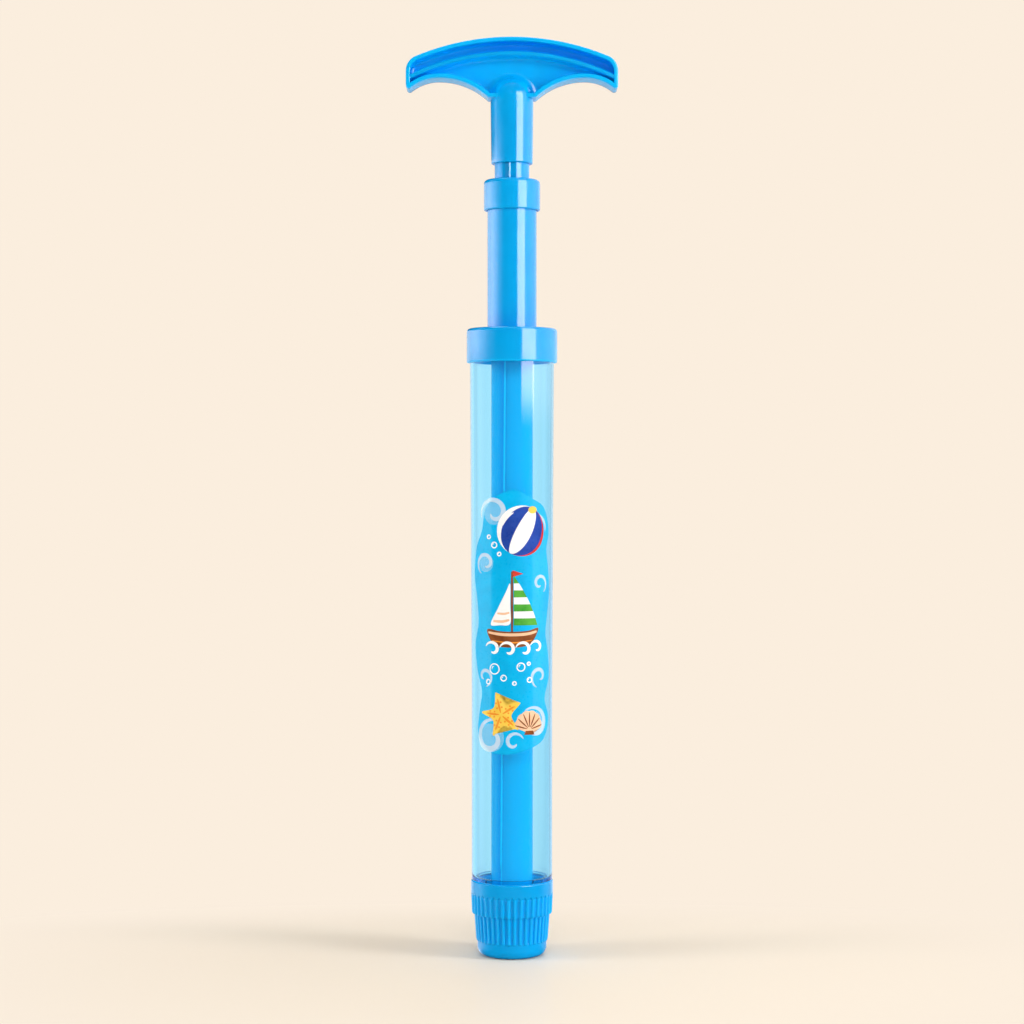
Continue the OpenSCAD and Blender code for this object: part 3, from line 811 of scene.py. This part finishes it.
def disc(cx, cz, rx, rz=None, n=36):
    return fill([(cx + rx * math.cos(2 * math.pi * i / n), cz + (rz or rx) * math.sin(2 * math.pi * i / n))
                 for i in range(n)])


def stroke(points, wide, ends):
    """Brush line, thinner at its ends"""
    left, right = [], []
    m = len(points)
    for i, (x, z) in enumerate(points):
        a, b = points[max(i - 1, 0)], points[min(i + 1, m - 1)]
        dx, dz = b[0] - a[0], b[1] - a[1]
        size = math.hypot(dx, dz) or 1
        t = i / (m - 1)
        w = wide / 2 * (ends + (1 - ends) * math.sin(math.pi * t) ** 0.6)
        left.append((x - dz / size * w, z + dx / size * w))
        right.append((x + dz / size * w, z - dx / size * w))
    return left + right, [(i, i + 1, m + i + 1, m + i) for i in range(m - 1)]


def ring(cx, cz, r, wide, a0=0, a1=360, n=32):
    pts = arc(cx, cz, r, a0, a1, n)
    return stroke(pts, wide, 1.0 if a1 - a0 >= 360 else 0.2)


def curl(cx, cz, r0, r1, a0, a1, wide):
    n = 44
    pts = []
    for i in range(n + 1):
        t = i / n
        a = math.radians(a0 + (a1 - a0) * t)
        r = r0 + (r1 - r0) * t
        pts.append((cx + r * math.cos(a), cz + r * math.sin(a)))
    return stroke(pts, wide, 0.1)


def rotate(points, cx, cz, deg):
    c, s = math.cos(math.radians(deg)), math.sin(math.radians(deg))
    return [(cx + (x - cx) * c - (z - cz) * s, cz + (x - cx) * s + (z - cz) * c) for x, z in points]


SKY, FOAM, WHITE, ROYAL, RED, BROWN, PEACH, GREEN, YELLOW, ORANGE, MIST = range(11)
shapes = []


def put(shape, slot, layer):
    shapes.append((shape[0], shape[1], LAYER + LAYER * layer, slot))


# Sky-blue field with a wavy edge
field = [(-6, 230), (2, 232), (10, 228), (18, 223), (22, 212), (20, 203), (21.5, 194), (23, 183), (21, 171),
         (19.5, 161), (22, 151), (23, 140), (19, 129), (22.5, 119), (18, 109), (7, 104), (-4, 102),
         (-13, 104), (-20, 112), (-18.5, 124), (-17, 133), (-20.5, 143), (-22.5, 155), (-19.5, 166),
         (-20.5, 178), (-23, 190), (-21, 203), (-16.5, 212), (-14, 223)]
put(fill(curve(field)), SKY, 0)
for c in [(-9, 221, 8, 2, 200, -160, 2.4), (12, 214, 7, 1.6, -20, 330, 2.0),
          (-14, 196, 6, 1.5, 240, -110, 1.8), (15, 186, 5, 1.2, -60, 300, 1.6),
          (-11, 110, 9.5, 2.2, 60, 440, 2.8), (12, 117, 8.5, 2, 130, -240, 2.6),
          (15, 140, 5.5, 1.4, 250, -80, 1.8), (-15, 140, 5, 1.2, -80, 250, 1.6),
          (1, 108, 5, 1.4, 20, 330, 1.8)]:
    put(curl(*c), FOAM, 1)
for x, z, r in [(-9, 221, 6), (-11, 110, 7), (12, 117, 6), (12, 214, 5), (-14, 196, 4.4)]:
    put(disc(x, z, r), MIST, 0.5)

# Beach ball
BX, BZ, BR, TILT = 5.0, 212.0, 12.5, -28


def panel(l0, l1):
    pts = []
    for i in range(19):
        f = math.radians(-90 + 10 * i)
        pts.append((BX + BR * math.sin(math.radians(l0)) * math.cos(f), BZ + BR * math.sin(f)))
    for i in range(1, 18):
        f = math.radians(90 - 10 * i)
        pts.append((BX + BR * math.sin(math.radians(l1)) * math.cos(f), BZ + BR * math.sin(f)))
    return rotate(pts, BX, BZ, TILT)


for l0, l1, slot in [(-90, -52, WHITE), (-52, -14, ROYAL), (-14, 24, WHITE), (24, 62, ROYAL), (62, 90, RED)]:
    put(fill(panel(l0, l1)), slot, 2)
cap_at = rotate([(BX, BZ + BR * 0.93)], BX, BZ, TILT)[0]
put(disc(cap_at[0], cap_at[1], 2.3, 1.8), YELLOW, 3)
put(ring(BX, BZ, 9.9, 1.2, 115, 165, 14), WHITE, 4)

# Sailing boat
SAIL_Z, SAIL_H, SAIL_BAND, MAST_GAP = 165.5, 24.5, 3.45, 0.9
hull = curve([(-13, 163.5), (-6, 162.6), (1, 162.4), (8, 162.8), (14, 164), (11.5, 158.5), (8, 155.6),
              (0, 154.6), (-8, 155.4), (-11.5, 158.6)], 6)
put(fill(hull), BROWN, 3)
for points, wide, ends, slot in [
    ([(-12.4, 162), (-6, 161.1), (1, 160.9), (8, 161.3), (13, 162.4)], 1.5, 0.6, PEACH),
    ([(-10.5, 158), (-4, 157.2), (3, 157.1), (10.5, 158.2)], 0.7, 0.3, ORANGE),
]:
    put(stroke(curve(points, 6, False), wide, ends), slot, 4)
put(stroke([(0, 162 + i * 3) for i in range(11)], 1.1, 0.8), BROWN, 4)


def sail_edge(z):
    t = (z - SAIL_Z) / SAIL_H
    return MAST_GAP + 12.6 * (1 - t) * (1 + 0.35 * t)


def sail_band(z0, z1):
    left = [(MAST_GAP, z0 + (z1 - z0) * i / 4) for i in range(5)]
    right = [(sail_edge(z), z) for _, z in reversed(left)]
    return fill(left + right)


for i in range(7):
    put(sail_band(SAIL_Z + SAIL_BAND * i, SAIL_Z + SAIL_BAND * (i + 1) - 0.01), WHITE if i % 2 else GREEN, 3)
jib = [(-MAST_GAP, 186), (-MAST_GAP, 176), (-MAST_GAP, 166.5), (-6, 165.6), (-11, 166), (-7, 174), (-3, 182)]
put(fill(curve(jib, 6)), WHITE, 3)
put(stroke(curve([(-9.5, 167.6), (-5, 167.4), (-1.3, 168.2)], 6, False), 1.3, 0.6), PEACH, 4)
put(stroke(curve([(-7.4, 171.4), (-4, 171.2), (-1.3, 171.8)], 6, False), 1.1, 0.6), PEACH, 4)
put(fill([(0.2, 192.6), (5.6, 190.9), (0.2, 189.3)]), RED, 4)
for c in [(-10, 153.6, 4.2, 1.2, 160, -120, 1.7), (-2, 153.4, 4.4, 1.2, 165, -120, 1.7),
          (6, 153.4, 4.4, 1.2, 165, -120, 1.7), (13, 154.5, 3.8, 1.1, 165, -110, 1.5)]:
    put(curl(*c), WHITE, 5)

# Bubbles
for x, z, r in [(-9, 144, 2.5), (-4.2, 139.6, 1.4), (4.5, 145, 2.0), (9, 138.6, 1.2), (-12.6, 137.6, 1.1),
                (1.2, 137, 0.9), (8.6, 146.6, 0.8), (-9, 205, 1.4), (-12, 209, 0.9), (-6.4, 200.6, 0.9)]:
    put(ring(x, z, r, 0.55), WHITE, 2)
    put(ring(x, z, r * 0.55, 0.4, 100, 190, 8), WHITE, 2)

# Starfish and shell
STAR_X, STAR_Z, STAR_TURN, STAR_OUT_R, STAR_IN_R = -5.5, 121.5, 104, 11.4, 5.2
SHELL_X, SHELL_Z, SHELL_FOOT_Z, FOLD_Z = 9, 116, 111.8, 114.2


def on_star(k, a):
    return (STAR_X + k * math.cos(a), STAR_Z + k * math.sin(a))


star = []
for i in range(10):
    a = math.radians(STAR_TURN + 36 * i)
    r = STAR_IN_R if i % 2 else STAR_OUT_R
    star.append(on_star(r, a))
put(fill(curve(star, 6)), YELLOW, 2)
for i in range(5):
    a = math.radians(STAR_TURN + 72 * i)
    put(stroke([on_star(k, a) for k in (1, 3.4, 6, 8)], 1.2, 0.3), ORANGE, 3)
    for k in (3.8, 6.2):
        for side in (-0.34, 0.34):
            put(disc(*on_star(k, a + side * 3.8 / k), 0.5, None, 10), ORANGE, 3)
fan = [(SHELL_X - 1.4, SHELL_FOOT_Z)]
for i in range(25):
    a = math.radians(-8 + 196 * i / 24)
    r = 7.2 + 0.45 * abs(math.sin(6 * math.pi * i / 24))
    fan.append((SHELL_X + r * math.cos(a), SHELL_Z + r * math.sin(a)))
fan.append((SHELL_X + 1.4, SHELL_FOOT_Z))
put(fill(fan), PEACH, 2)
for i in range(7):
    a = math.radians(14 + 152 * i / 6)
    fold = [(SHELL_X + k * math.cos(a), FOLD_Z + k * math.sin(a) * 1.1) for k in (1.2, 3.5, 6, 7.6)]
    put(stroke(fold, 0.7, 0.4), BROWN, 3)
put(fill([(6.2, 111.6), (11.8, 111.6), (11, 113.6), (7, 113.6)]), BROWN, 3)

PRINT = [
    ink("ink_sky", (0.0, 0.36, 0.68), (0.0, 0.42, 0.75), 0.88),
    ink("ink_foam", (0.86, 0.96, 1.0), (0.95, 0.99, 1.0), 0.5),
    ink("ink_white", (0.86, 0.89, 0.9), (0.92, 0.94, 0.95)),
    ink("ink_royal", (0.012, 0.045, 0.3), (0.02, 0.075, 0.42)),
    ink("ink_red", (0.55, 0.03, 0.02), (0.7, 0.06, 0.04)),
    ink("ink_brown", (0.17, 0.045, 0.012), (0.29, 0.09, 0.025)),
    ink("ink_peach", (0.82, 0.5, 0.3), (0.9, 0.6, 0.4)),
    ink("ink_green", (0.04, 0.3, 0.03), (0.1, 0.42, 0.05)),
    ink("ink_yellow", (0.85, 0.55, 0.06), (0.93, 0.66, 0.12)),
    ink("ink_orange", (0.8, 0.26, 0.02), (0.88, 0.34, 0.05)),
    ink("ink_mist", (0.6, 0.92, 1.0), (0.72, 0.95, 1.0), 0.25),
]
# Painted glow on the thin blue ink, for light that comes through it
add_painted_glow(PRINT[SKY], (0.0, 0.45, 0.85), 0.2)
verts, faces, slots = wrap(shapes)
print_piece = add_piece("barrel_print", verts, faces, PRINT, slots, closed=False)
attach(print_piece, "bottle")


# Stage: floor, reflector ring, lamps

CREAM = (0.965, 0.855, 0.73)
# Backdrop as it shows in gloss and through the clear wall
PALE = (1.0, 1.0, 1.0)
# Brightness of the room through the clear wall and in gloss, by the angle from the front
BACKDROP = [(-180, 1.16), (-174, 1.04), (-167, 0.85), (-160, 0.93), (-152, 1.1), (-112, 1.16), (-98, 0.5),
            (-70, 0.5), (-55, 0.75), (55, 0.75), (70, 0.5), (98, 0.5), (112, 1.16), (125, 1.16), (135, 1.0),
            (143, 0.8), (168, 0.84), (173, 1.03), (180, 1.16)]
ROOM = [(-170, 0.7), (-160, 1.25), (-140, 1.25), (-130, 0.9), (-97, 1.6), (-86, 1.0), (-77, 0.35),
        (-62, 0.06), (75, 0.04), (90, 0.25), (102, 0.6), (118, 0.65), (137, 0.9), (145, 1.25),
        (160, 1.25), (170, 0.7)]
# In gloss the room's left side is dimmed above the neck, but for a narrow line
FLAG = [(-180, 0.9), (-108, 0.9), (-103, 0), (-95, 0), (-90, 0.9), (-50, 0.9), (-40, 0)]
FLOOR_HALF, RING_R, RING_SEGS = 6000, 1300, 120
RING_HEIGHTS = (270, 370, 1600)
# Shade on the floor, in metres: whole up to the first, gone from the second, shorter behind the third
SHADE_WHOLE, SHADE_END, SHADE_BACK = 0.06, 0.34, 0.045


def floor_material():
    m, nt, bsdf, out = shader("stage_floor")
    nt.links.new(ramp(nt, noise(nt, 3, 2), [(0.3, (0.946, 0.834, 0.687)), (0.7, (0.961, 0.849, 0.7))]),
                 bsdf.inputs["Base Color"])
    bsdf.inputs["Roughness"].default_value = 0.35
    bsdf.inputs["Specular IOR Level"].default_value = 0.02
    glow = nt.nodes.new("ShaderNodeEmission")
    geo = nt.nodes.new("ShaderNodeNewGeometry")
    path = nt.nodes.new("ShaderNodeLightPath")
    # The shade ends sooner behind the object
    at = nt.nodes.new("ShaderNodeSeparateXYZ")
    nt.links.new(geo.outputs["Position"], at.inputs[0])
    back = node_math(nt, "MAXIMUM", node_math(nt, "SUBTRACT", at.outputs["Y"], SHADE_BACK), 0.0)
    spot = nt.nodes.new("ShaderNodeCombineXYZ")
    nt.links.new(at.outputs["X"], spot.inputs["X"])
    nt.links.new(node_math(nt, "MULTIPLY_ADD", back, 2.0, at.outputs["Y"]), spot.inputs["Y"])
    far = nt.nodes.new("ShaderNodeVectorMath")
    far.operation = "LENGTH"
    nt.links.new(spot.outputs[0], far.inputs[0])
    turn, _ = azimuth(nt, geo.outputs["Position"])
    gloss = node_tint(nt, levels(nt, turn, ROOM), (0.85, 0.95, 1.15))
    colour = node_mix(nt, path.outputs["Is Transmission Ray"], gloss, levels(nt, turn, BACKDROP))
    colour = node_mix(nt, path.outputs["Is Camera Ray"], colour, CREAM)
    nt.links.new(colour, glow.inputs["Color"])
    fade = nt.nodes.new("ShaderNodeMapRange")
    fade.interpolation_type = "SMOOTHSTEP"
    fade.inputs["From Min"].default_value = SHADE_WHOLE
    fade.inputs["From Max"].default_value = SHADE_END
    fade.inputs["To Min"].default_value = 0.0
    fade.inputs["To Max"].default_value = 1.0
    nt.links.new(far.outputs["Value"], fade.inputs["Value"])
    share = node_math(nt, "MULTIPLY", path.outputs["Is Camera Ray"], fade.outputs["Result"])
    share = node_math(nt, "MAXIMUM", share, path.outputs["Is Glossy Ray"])
    share = node_math(nt, "MAXIMUM", share, path.outputs["Is Transmission Ray"])
    mix = nt.nodes.new("ShaderNodeMixShader")
    nt.links.new(share, mix.inputs[0])
    nt.links.new(bsdf.outputs[0], mix.inputs[1])
    nt.links.new(glow.outputs[0], mix.inputs[2])
    nt.links.new(mix.outputs[0], out.inputs[0])
    return m


corners = [(x * FLOOR_HALF, y * FLOOR_HALF, 0) for x, y in ((-1, -1), (1, -1), (1, 1), (-1, 1))]
floor = add_piece("stage_floor", corners, [(0, 1, 2, 3)], [floor_material()], closed=False)


def ring_material():
    m = bpy.data.materials.new("stage_reflector")
    m.use_nodes = True
    nt = m.node_tree
    nt.nodes.clear()
    out = nt.nodes.new("ShaderNodeOutputMaterial")
    glow = nt.nodes.new("ShaderNodeEmission")
    geo = nt.nodes.new("ShaderNodeNewGeometry")
    turn, up = azimuth(nt, geo.outputs["Position"])
    level = levels(nt, turn, [
        (-150, 0.0), (-125, 0.15), (-110, 0.28), (-97, 0.32), (-78, 0.26), (-58, 0.1), (-40, 0.0),
        (24.5, 0.0), (27, 0.9), (60.5, 0.94), (63.5, 0.13), (90, 0.11), (120, 0.06), (150, 0.0)])
    level = node_tint(nt, level, (1.0, 0.82, 0.96))
    left = node_math(nt, "LESS_THAN", turn, 0.5)
    rise = nt.nodes.new("ShaderNodeMapRange")
    rise.interpolation_type = "SMOOTHSTEP"
    nt.links.new(node_math(nt, "MULTIPLY_ADD", left, 0.078, 0.275), rise.inputs["From Min"])
    nt.links.new(node_math(nt, "MULTIPLY_ADD", left, 0.04, 0.33), rise.inputs["From Max"])
    rise.inputs["To Max"].default_value = 12.2
    nt.links.new(up, rise.inputs["Value"])
    # The left card ends lower, and the flag begins there
    end = nt.nodes.new("ShaderNodeMapRange")
    end.interpolation_type = "SMOOTHSTEP"
    nt.links.new(node_math(nt, "MULTIPLY_ADD", left, -0.645, 1.2), end.inputs["From Min"])
    nt.links.new(node_math(nt, "MULTIPLY_ADD", left, -0.875, 1.45), end.inputs["From Max"])
    nt.links.new(up, end.inputs["Value"])
    power = node_math(nt, "SUBTRACT", 1.0, end.outputs["Result"])
    power = node_math(nt, "MULTIPLY", rise.outputs["Result"], power)
    nt.links.new(level, glow.inputs["Color"])
    nt.links.new(power, glow.inputs["Strength"])
    clear_air = nt.nodes.new("ShaderNodeBsdfTransparent")
    flag = node_math(nt, "MULTIPLY", levels(nt, turn, FLAG), end.outputs["Result"])
    nt.links.new(node_math(nt, "SUBTRACT", 1.0, flag), clear_air.inputs["Color"])
    both = nt.nodes.new("ShaderNodeAddShader")
    nt.links.new(glow.outputs[0], both.inputs[0])
    nt.links.new(clear_air.outputs[0], both.inputs[1])
    nt.links.new(both.outputs[0], out.inputs[0])
    return m


ring_turns = [2 * math.pi * i / RING_SEGS for i in range(RING_SEGS)]
verts, faces = bridge([[(RING_R * math.sin(a), -RING_R * math.cos(a), z) for a in ring_turns]
                       for z in RING_HEIGHTS])
reflector = add_piece("stage_reflector", verts, faces, [ring_material()], closed=False)
reflector.visible_camera = False
reflector.visible_diffuse = False
reflector.visible_transmission = False
reflector.visible_shadow = False


def lamp(name, place, aim, size, watts, colour=(1, 1, 1)):
    data = bpy.data.lights.new(name, "AREA")
    data.shape = "RECTANGLE"
    data.size, data.size_y = size
    data.energy = watts
    data.color = colour
    ob = bpy.data.objects.new(name, data)
    ob.location = place
    ob.rotation_euler = (Vector(aim) - Vector(place)).to_track_quat("-Z", "Y").to_euler()
    ob.visible_camera = False
    ob.visible_glossy = False
    ob.visible_transmission = False
    bpy.context.scene.collection.objects.link(ob)


lamp("lamp_front", (0.15, -2.0, 1.58), (0, 0, 0.22), (0.9, 0.5), 10.5)
lamp("lamp_low", (0.0, -2.0, 0.12), (0, 0, 0.3), (0.8, 0.2), 4.5)
lamp("lamp_top", (0.1, -0.1, 2.0), (0, 0, 0.2), (1.2, 1.2), 12.6)
lamp("lamp_right", (1.45, -0.58, 0.55), (0, 0, 0.2), (0.5, 0.8), 17, (0.97, 0.98, 1.02))
lamp("lamp_left", (-1.5, -0.35, 0.55), (0, 0, 0.2), (0.5, 0.8), 11, (0.97, 0.98, 1.02))
lamp("lamp_back", (0.0, 2.4, 1.5), (0, 0, 0.25), (1.6, 0.8), 7)

world = bpy.data.worlds.new("stage_world")
bpy.context.scene.world = world
world.use_nodes = True
wt = world.node_tree
wt.nodes.clear()
sky_out = wt.nodes.new("ShaderNodeOutputWorld")
path = wt.nodes.new("ShaderNodeLightPath")
way = wt.nodes.new("ShaderNodeTexCoord")
# In gloss the room before the object is dim, the backdrop pale, and a softbox hangs overhead
turn, up = azimuth(wt, way.outputs["Generated"])
behind = levels(wt, turn, ROOM)
above = ramp(wt, up, [(0.14, (0, 0, 0)), (0.15, (1, 1, 1))])
flag = node_math(wt, "MULTIPLY", levels(wt, turn, FLAG), above)
behind = node_math(wt, "MULTIPLY", behind, node_math(wt, "SUBTRACT", 1.0, flag))
overhead = ramp(wt, up, [(0.85, (0, 0, 0)), (0.9, (1, 1, 1))])
overhead = node_tint(wt, overhead, levels(wt, turn, [(-95, 1), (-85, 0), (85, 0), (95, 1)]))
sky_level = node_math(wt, "MULTIPLY_ADD", overhead, 6.0, behind)
skies = []
for colour, strength in (((1.0, 0.93, 0.82), 0.28), (PALE, 1), (PALE, 1), (CREAM, 1)):
    sky = wt.nodes.new("ShaderNodeBackground")
    sky.inputs["Color"].default_value = (*colour, 1)
    sky.inputs["Strength"].default_value = strength
    skies.append(sky)
wt.links.new(sky_level, skies[1].inputs["Strength"])
wt.links.new(levels(wt, turn, BACKDROP), skies[2].inputs["Strength"])
last = skies[0].outputs[0]
for sky, kind in zip(skies[1:], ("Is Glossy Ray", "Is Transmission Ray", "Is Camera Ray")):
    mix = wt.nodes.new("ShaderNodeMixShader")
    wt.links.new(path.outputs[kind], mix.inputs[0])
    wt.links.new(last, mix.inputs[1])
    wt.links.new(sky.outputs[0], mix.inputs[2])
    last = mix.outputs[0]
wt.links.new(last, sky_out.inputs[0])


# Camera at the photograph's viewing angle

cam_data = bpy.data.cameras.new("camera")
cam_data.lens = 82.55
cam_data.sensor_width = 36
cam_data.shift_y = -0.0303
cam = bpy.data.objects.new("camera", cam_data)
cam.location = (0, -1.174, 0.2365)
cam.rotation_euler = (math.radians(90), 0, 0)
bpy.context.scene.collection.objects.link(cam)
bpy.context.scene.camera = cam
bpy.context.scene.view_settings.view_transform = "Standard"
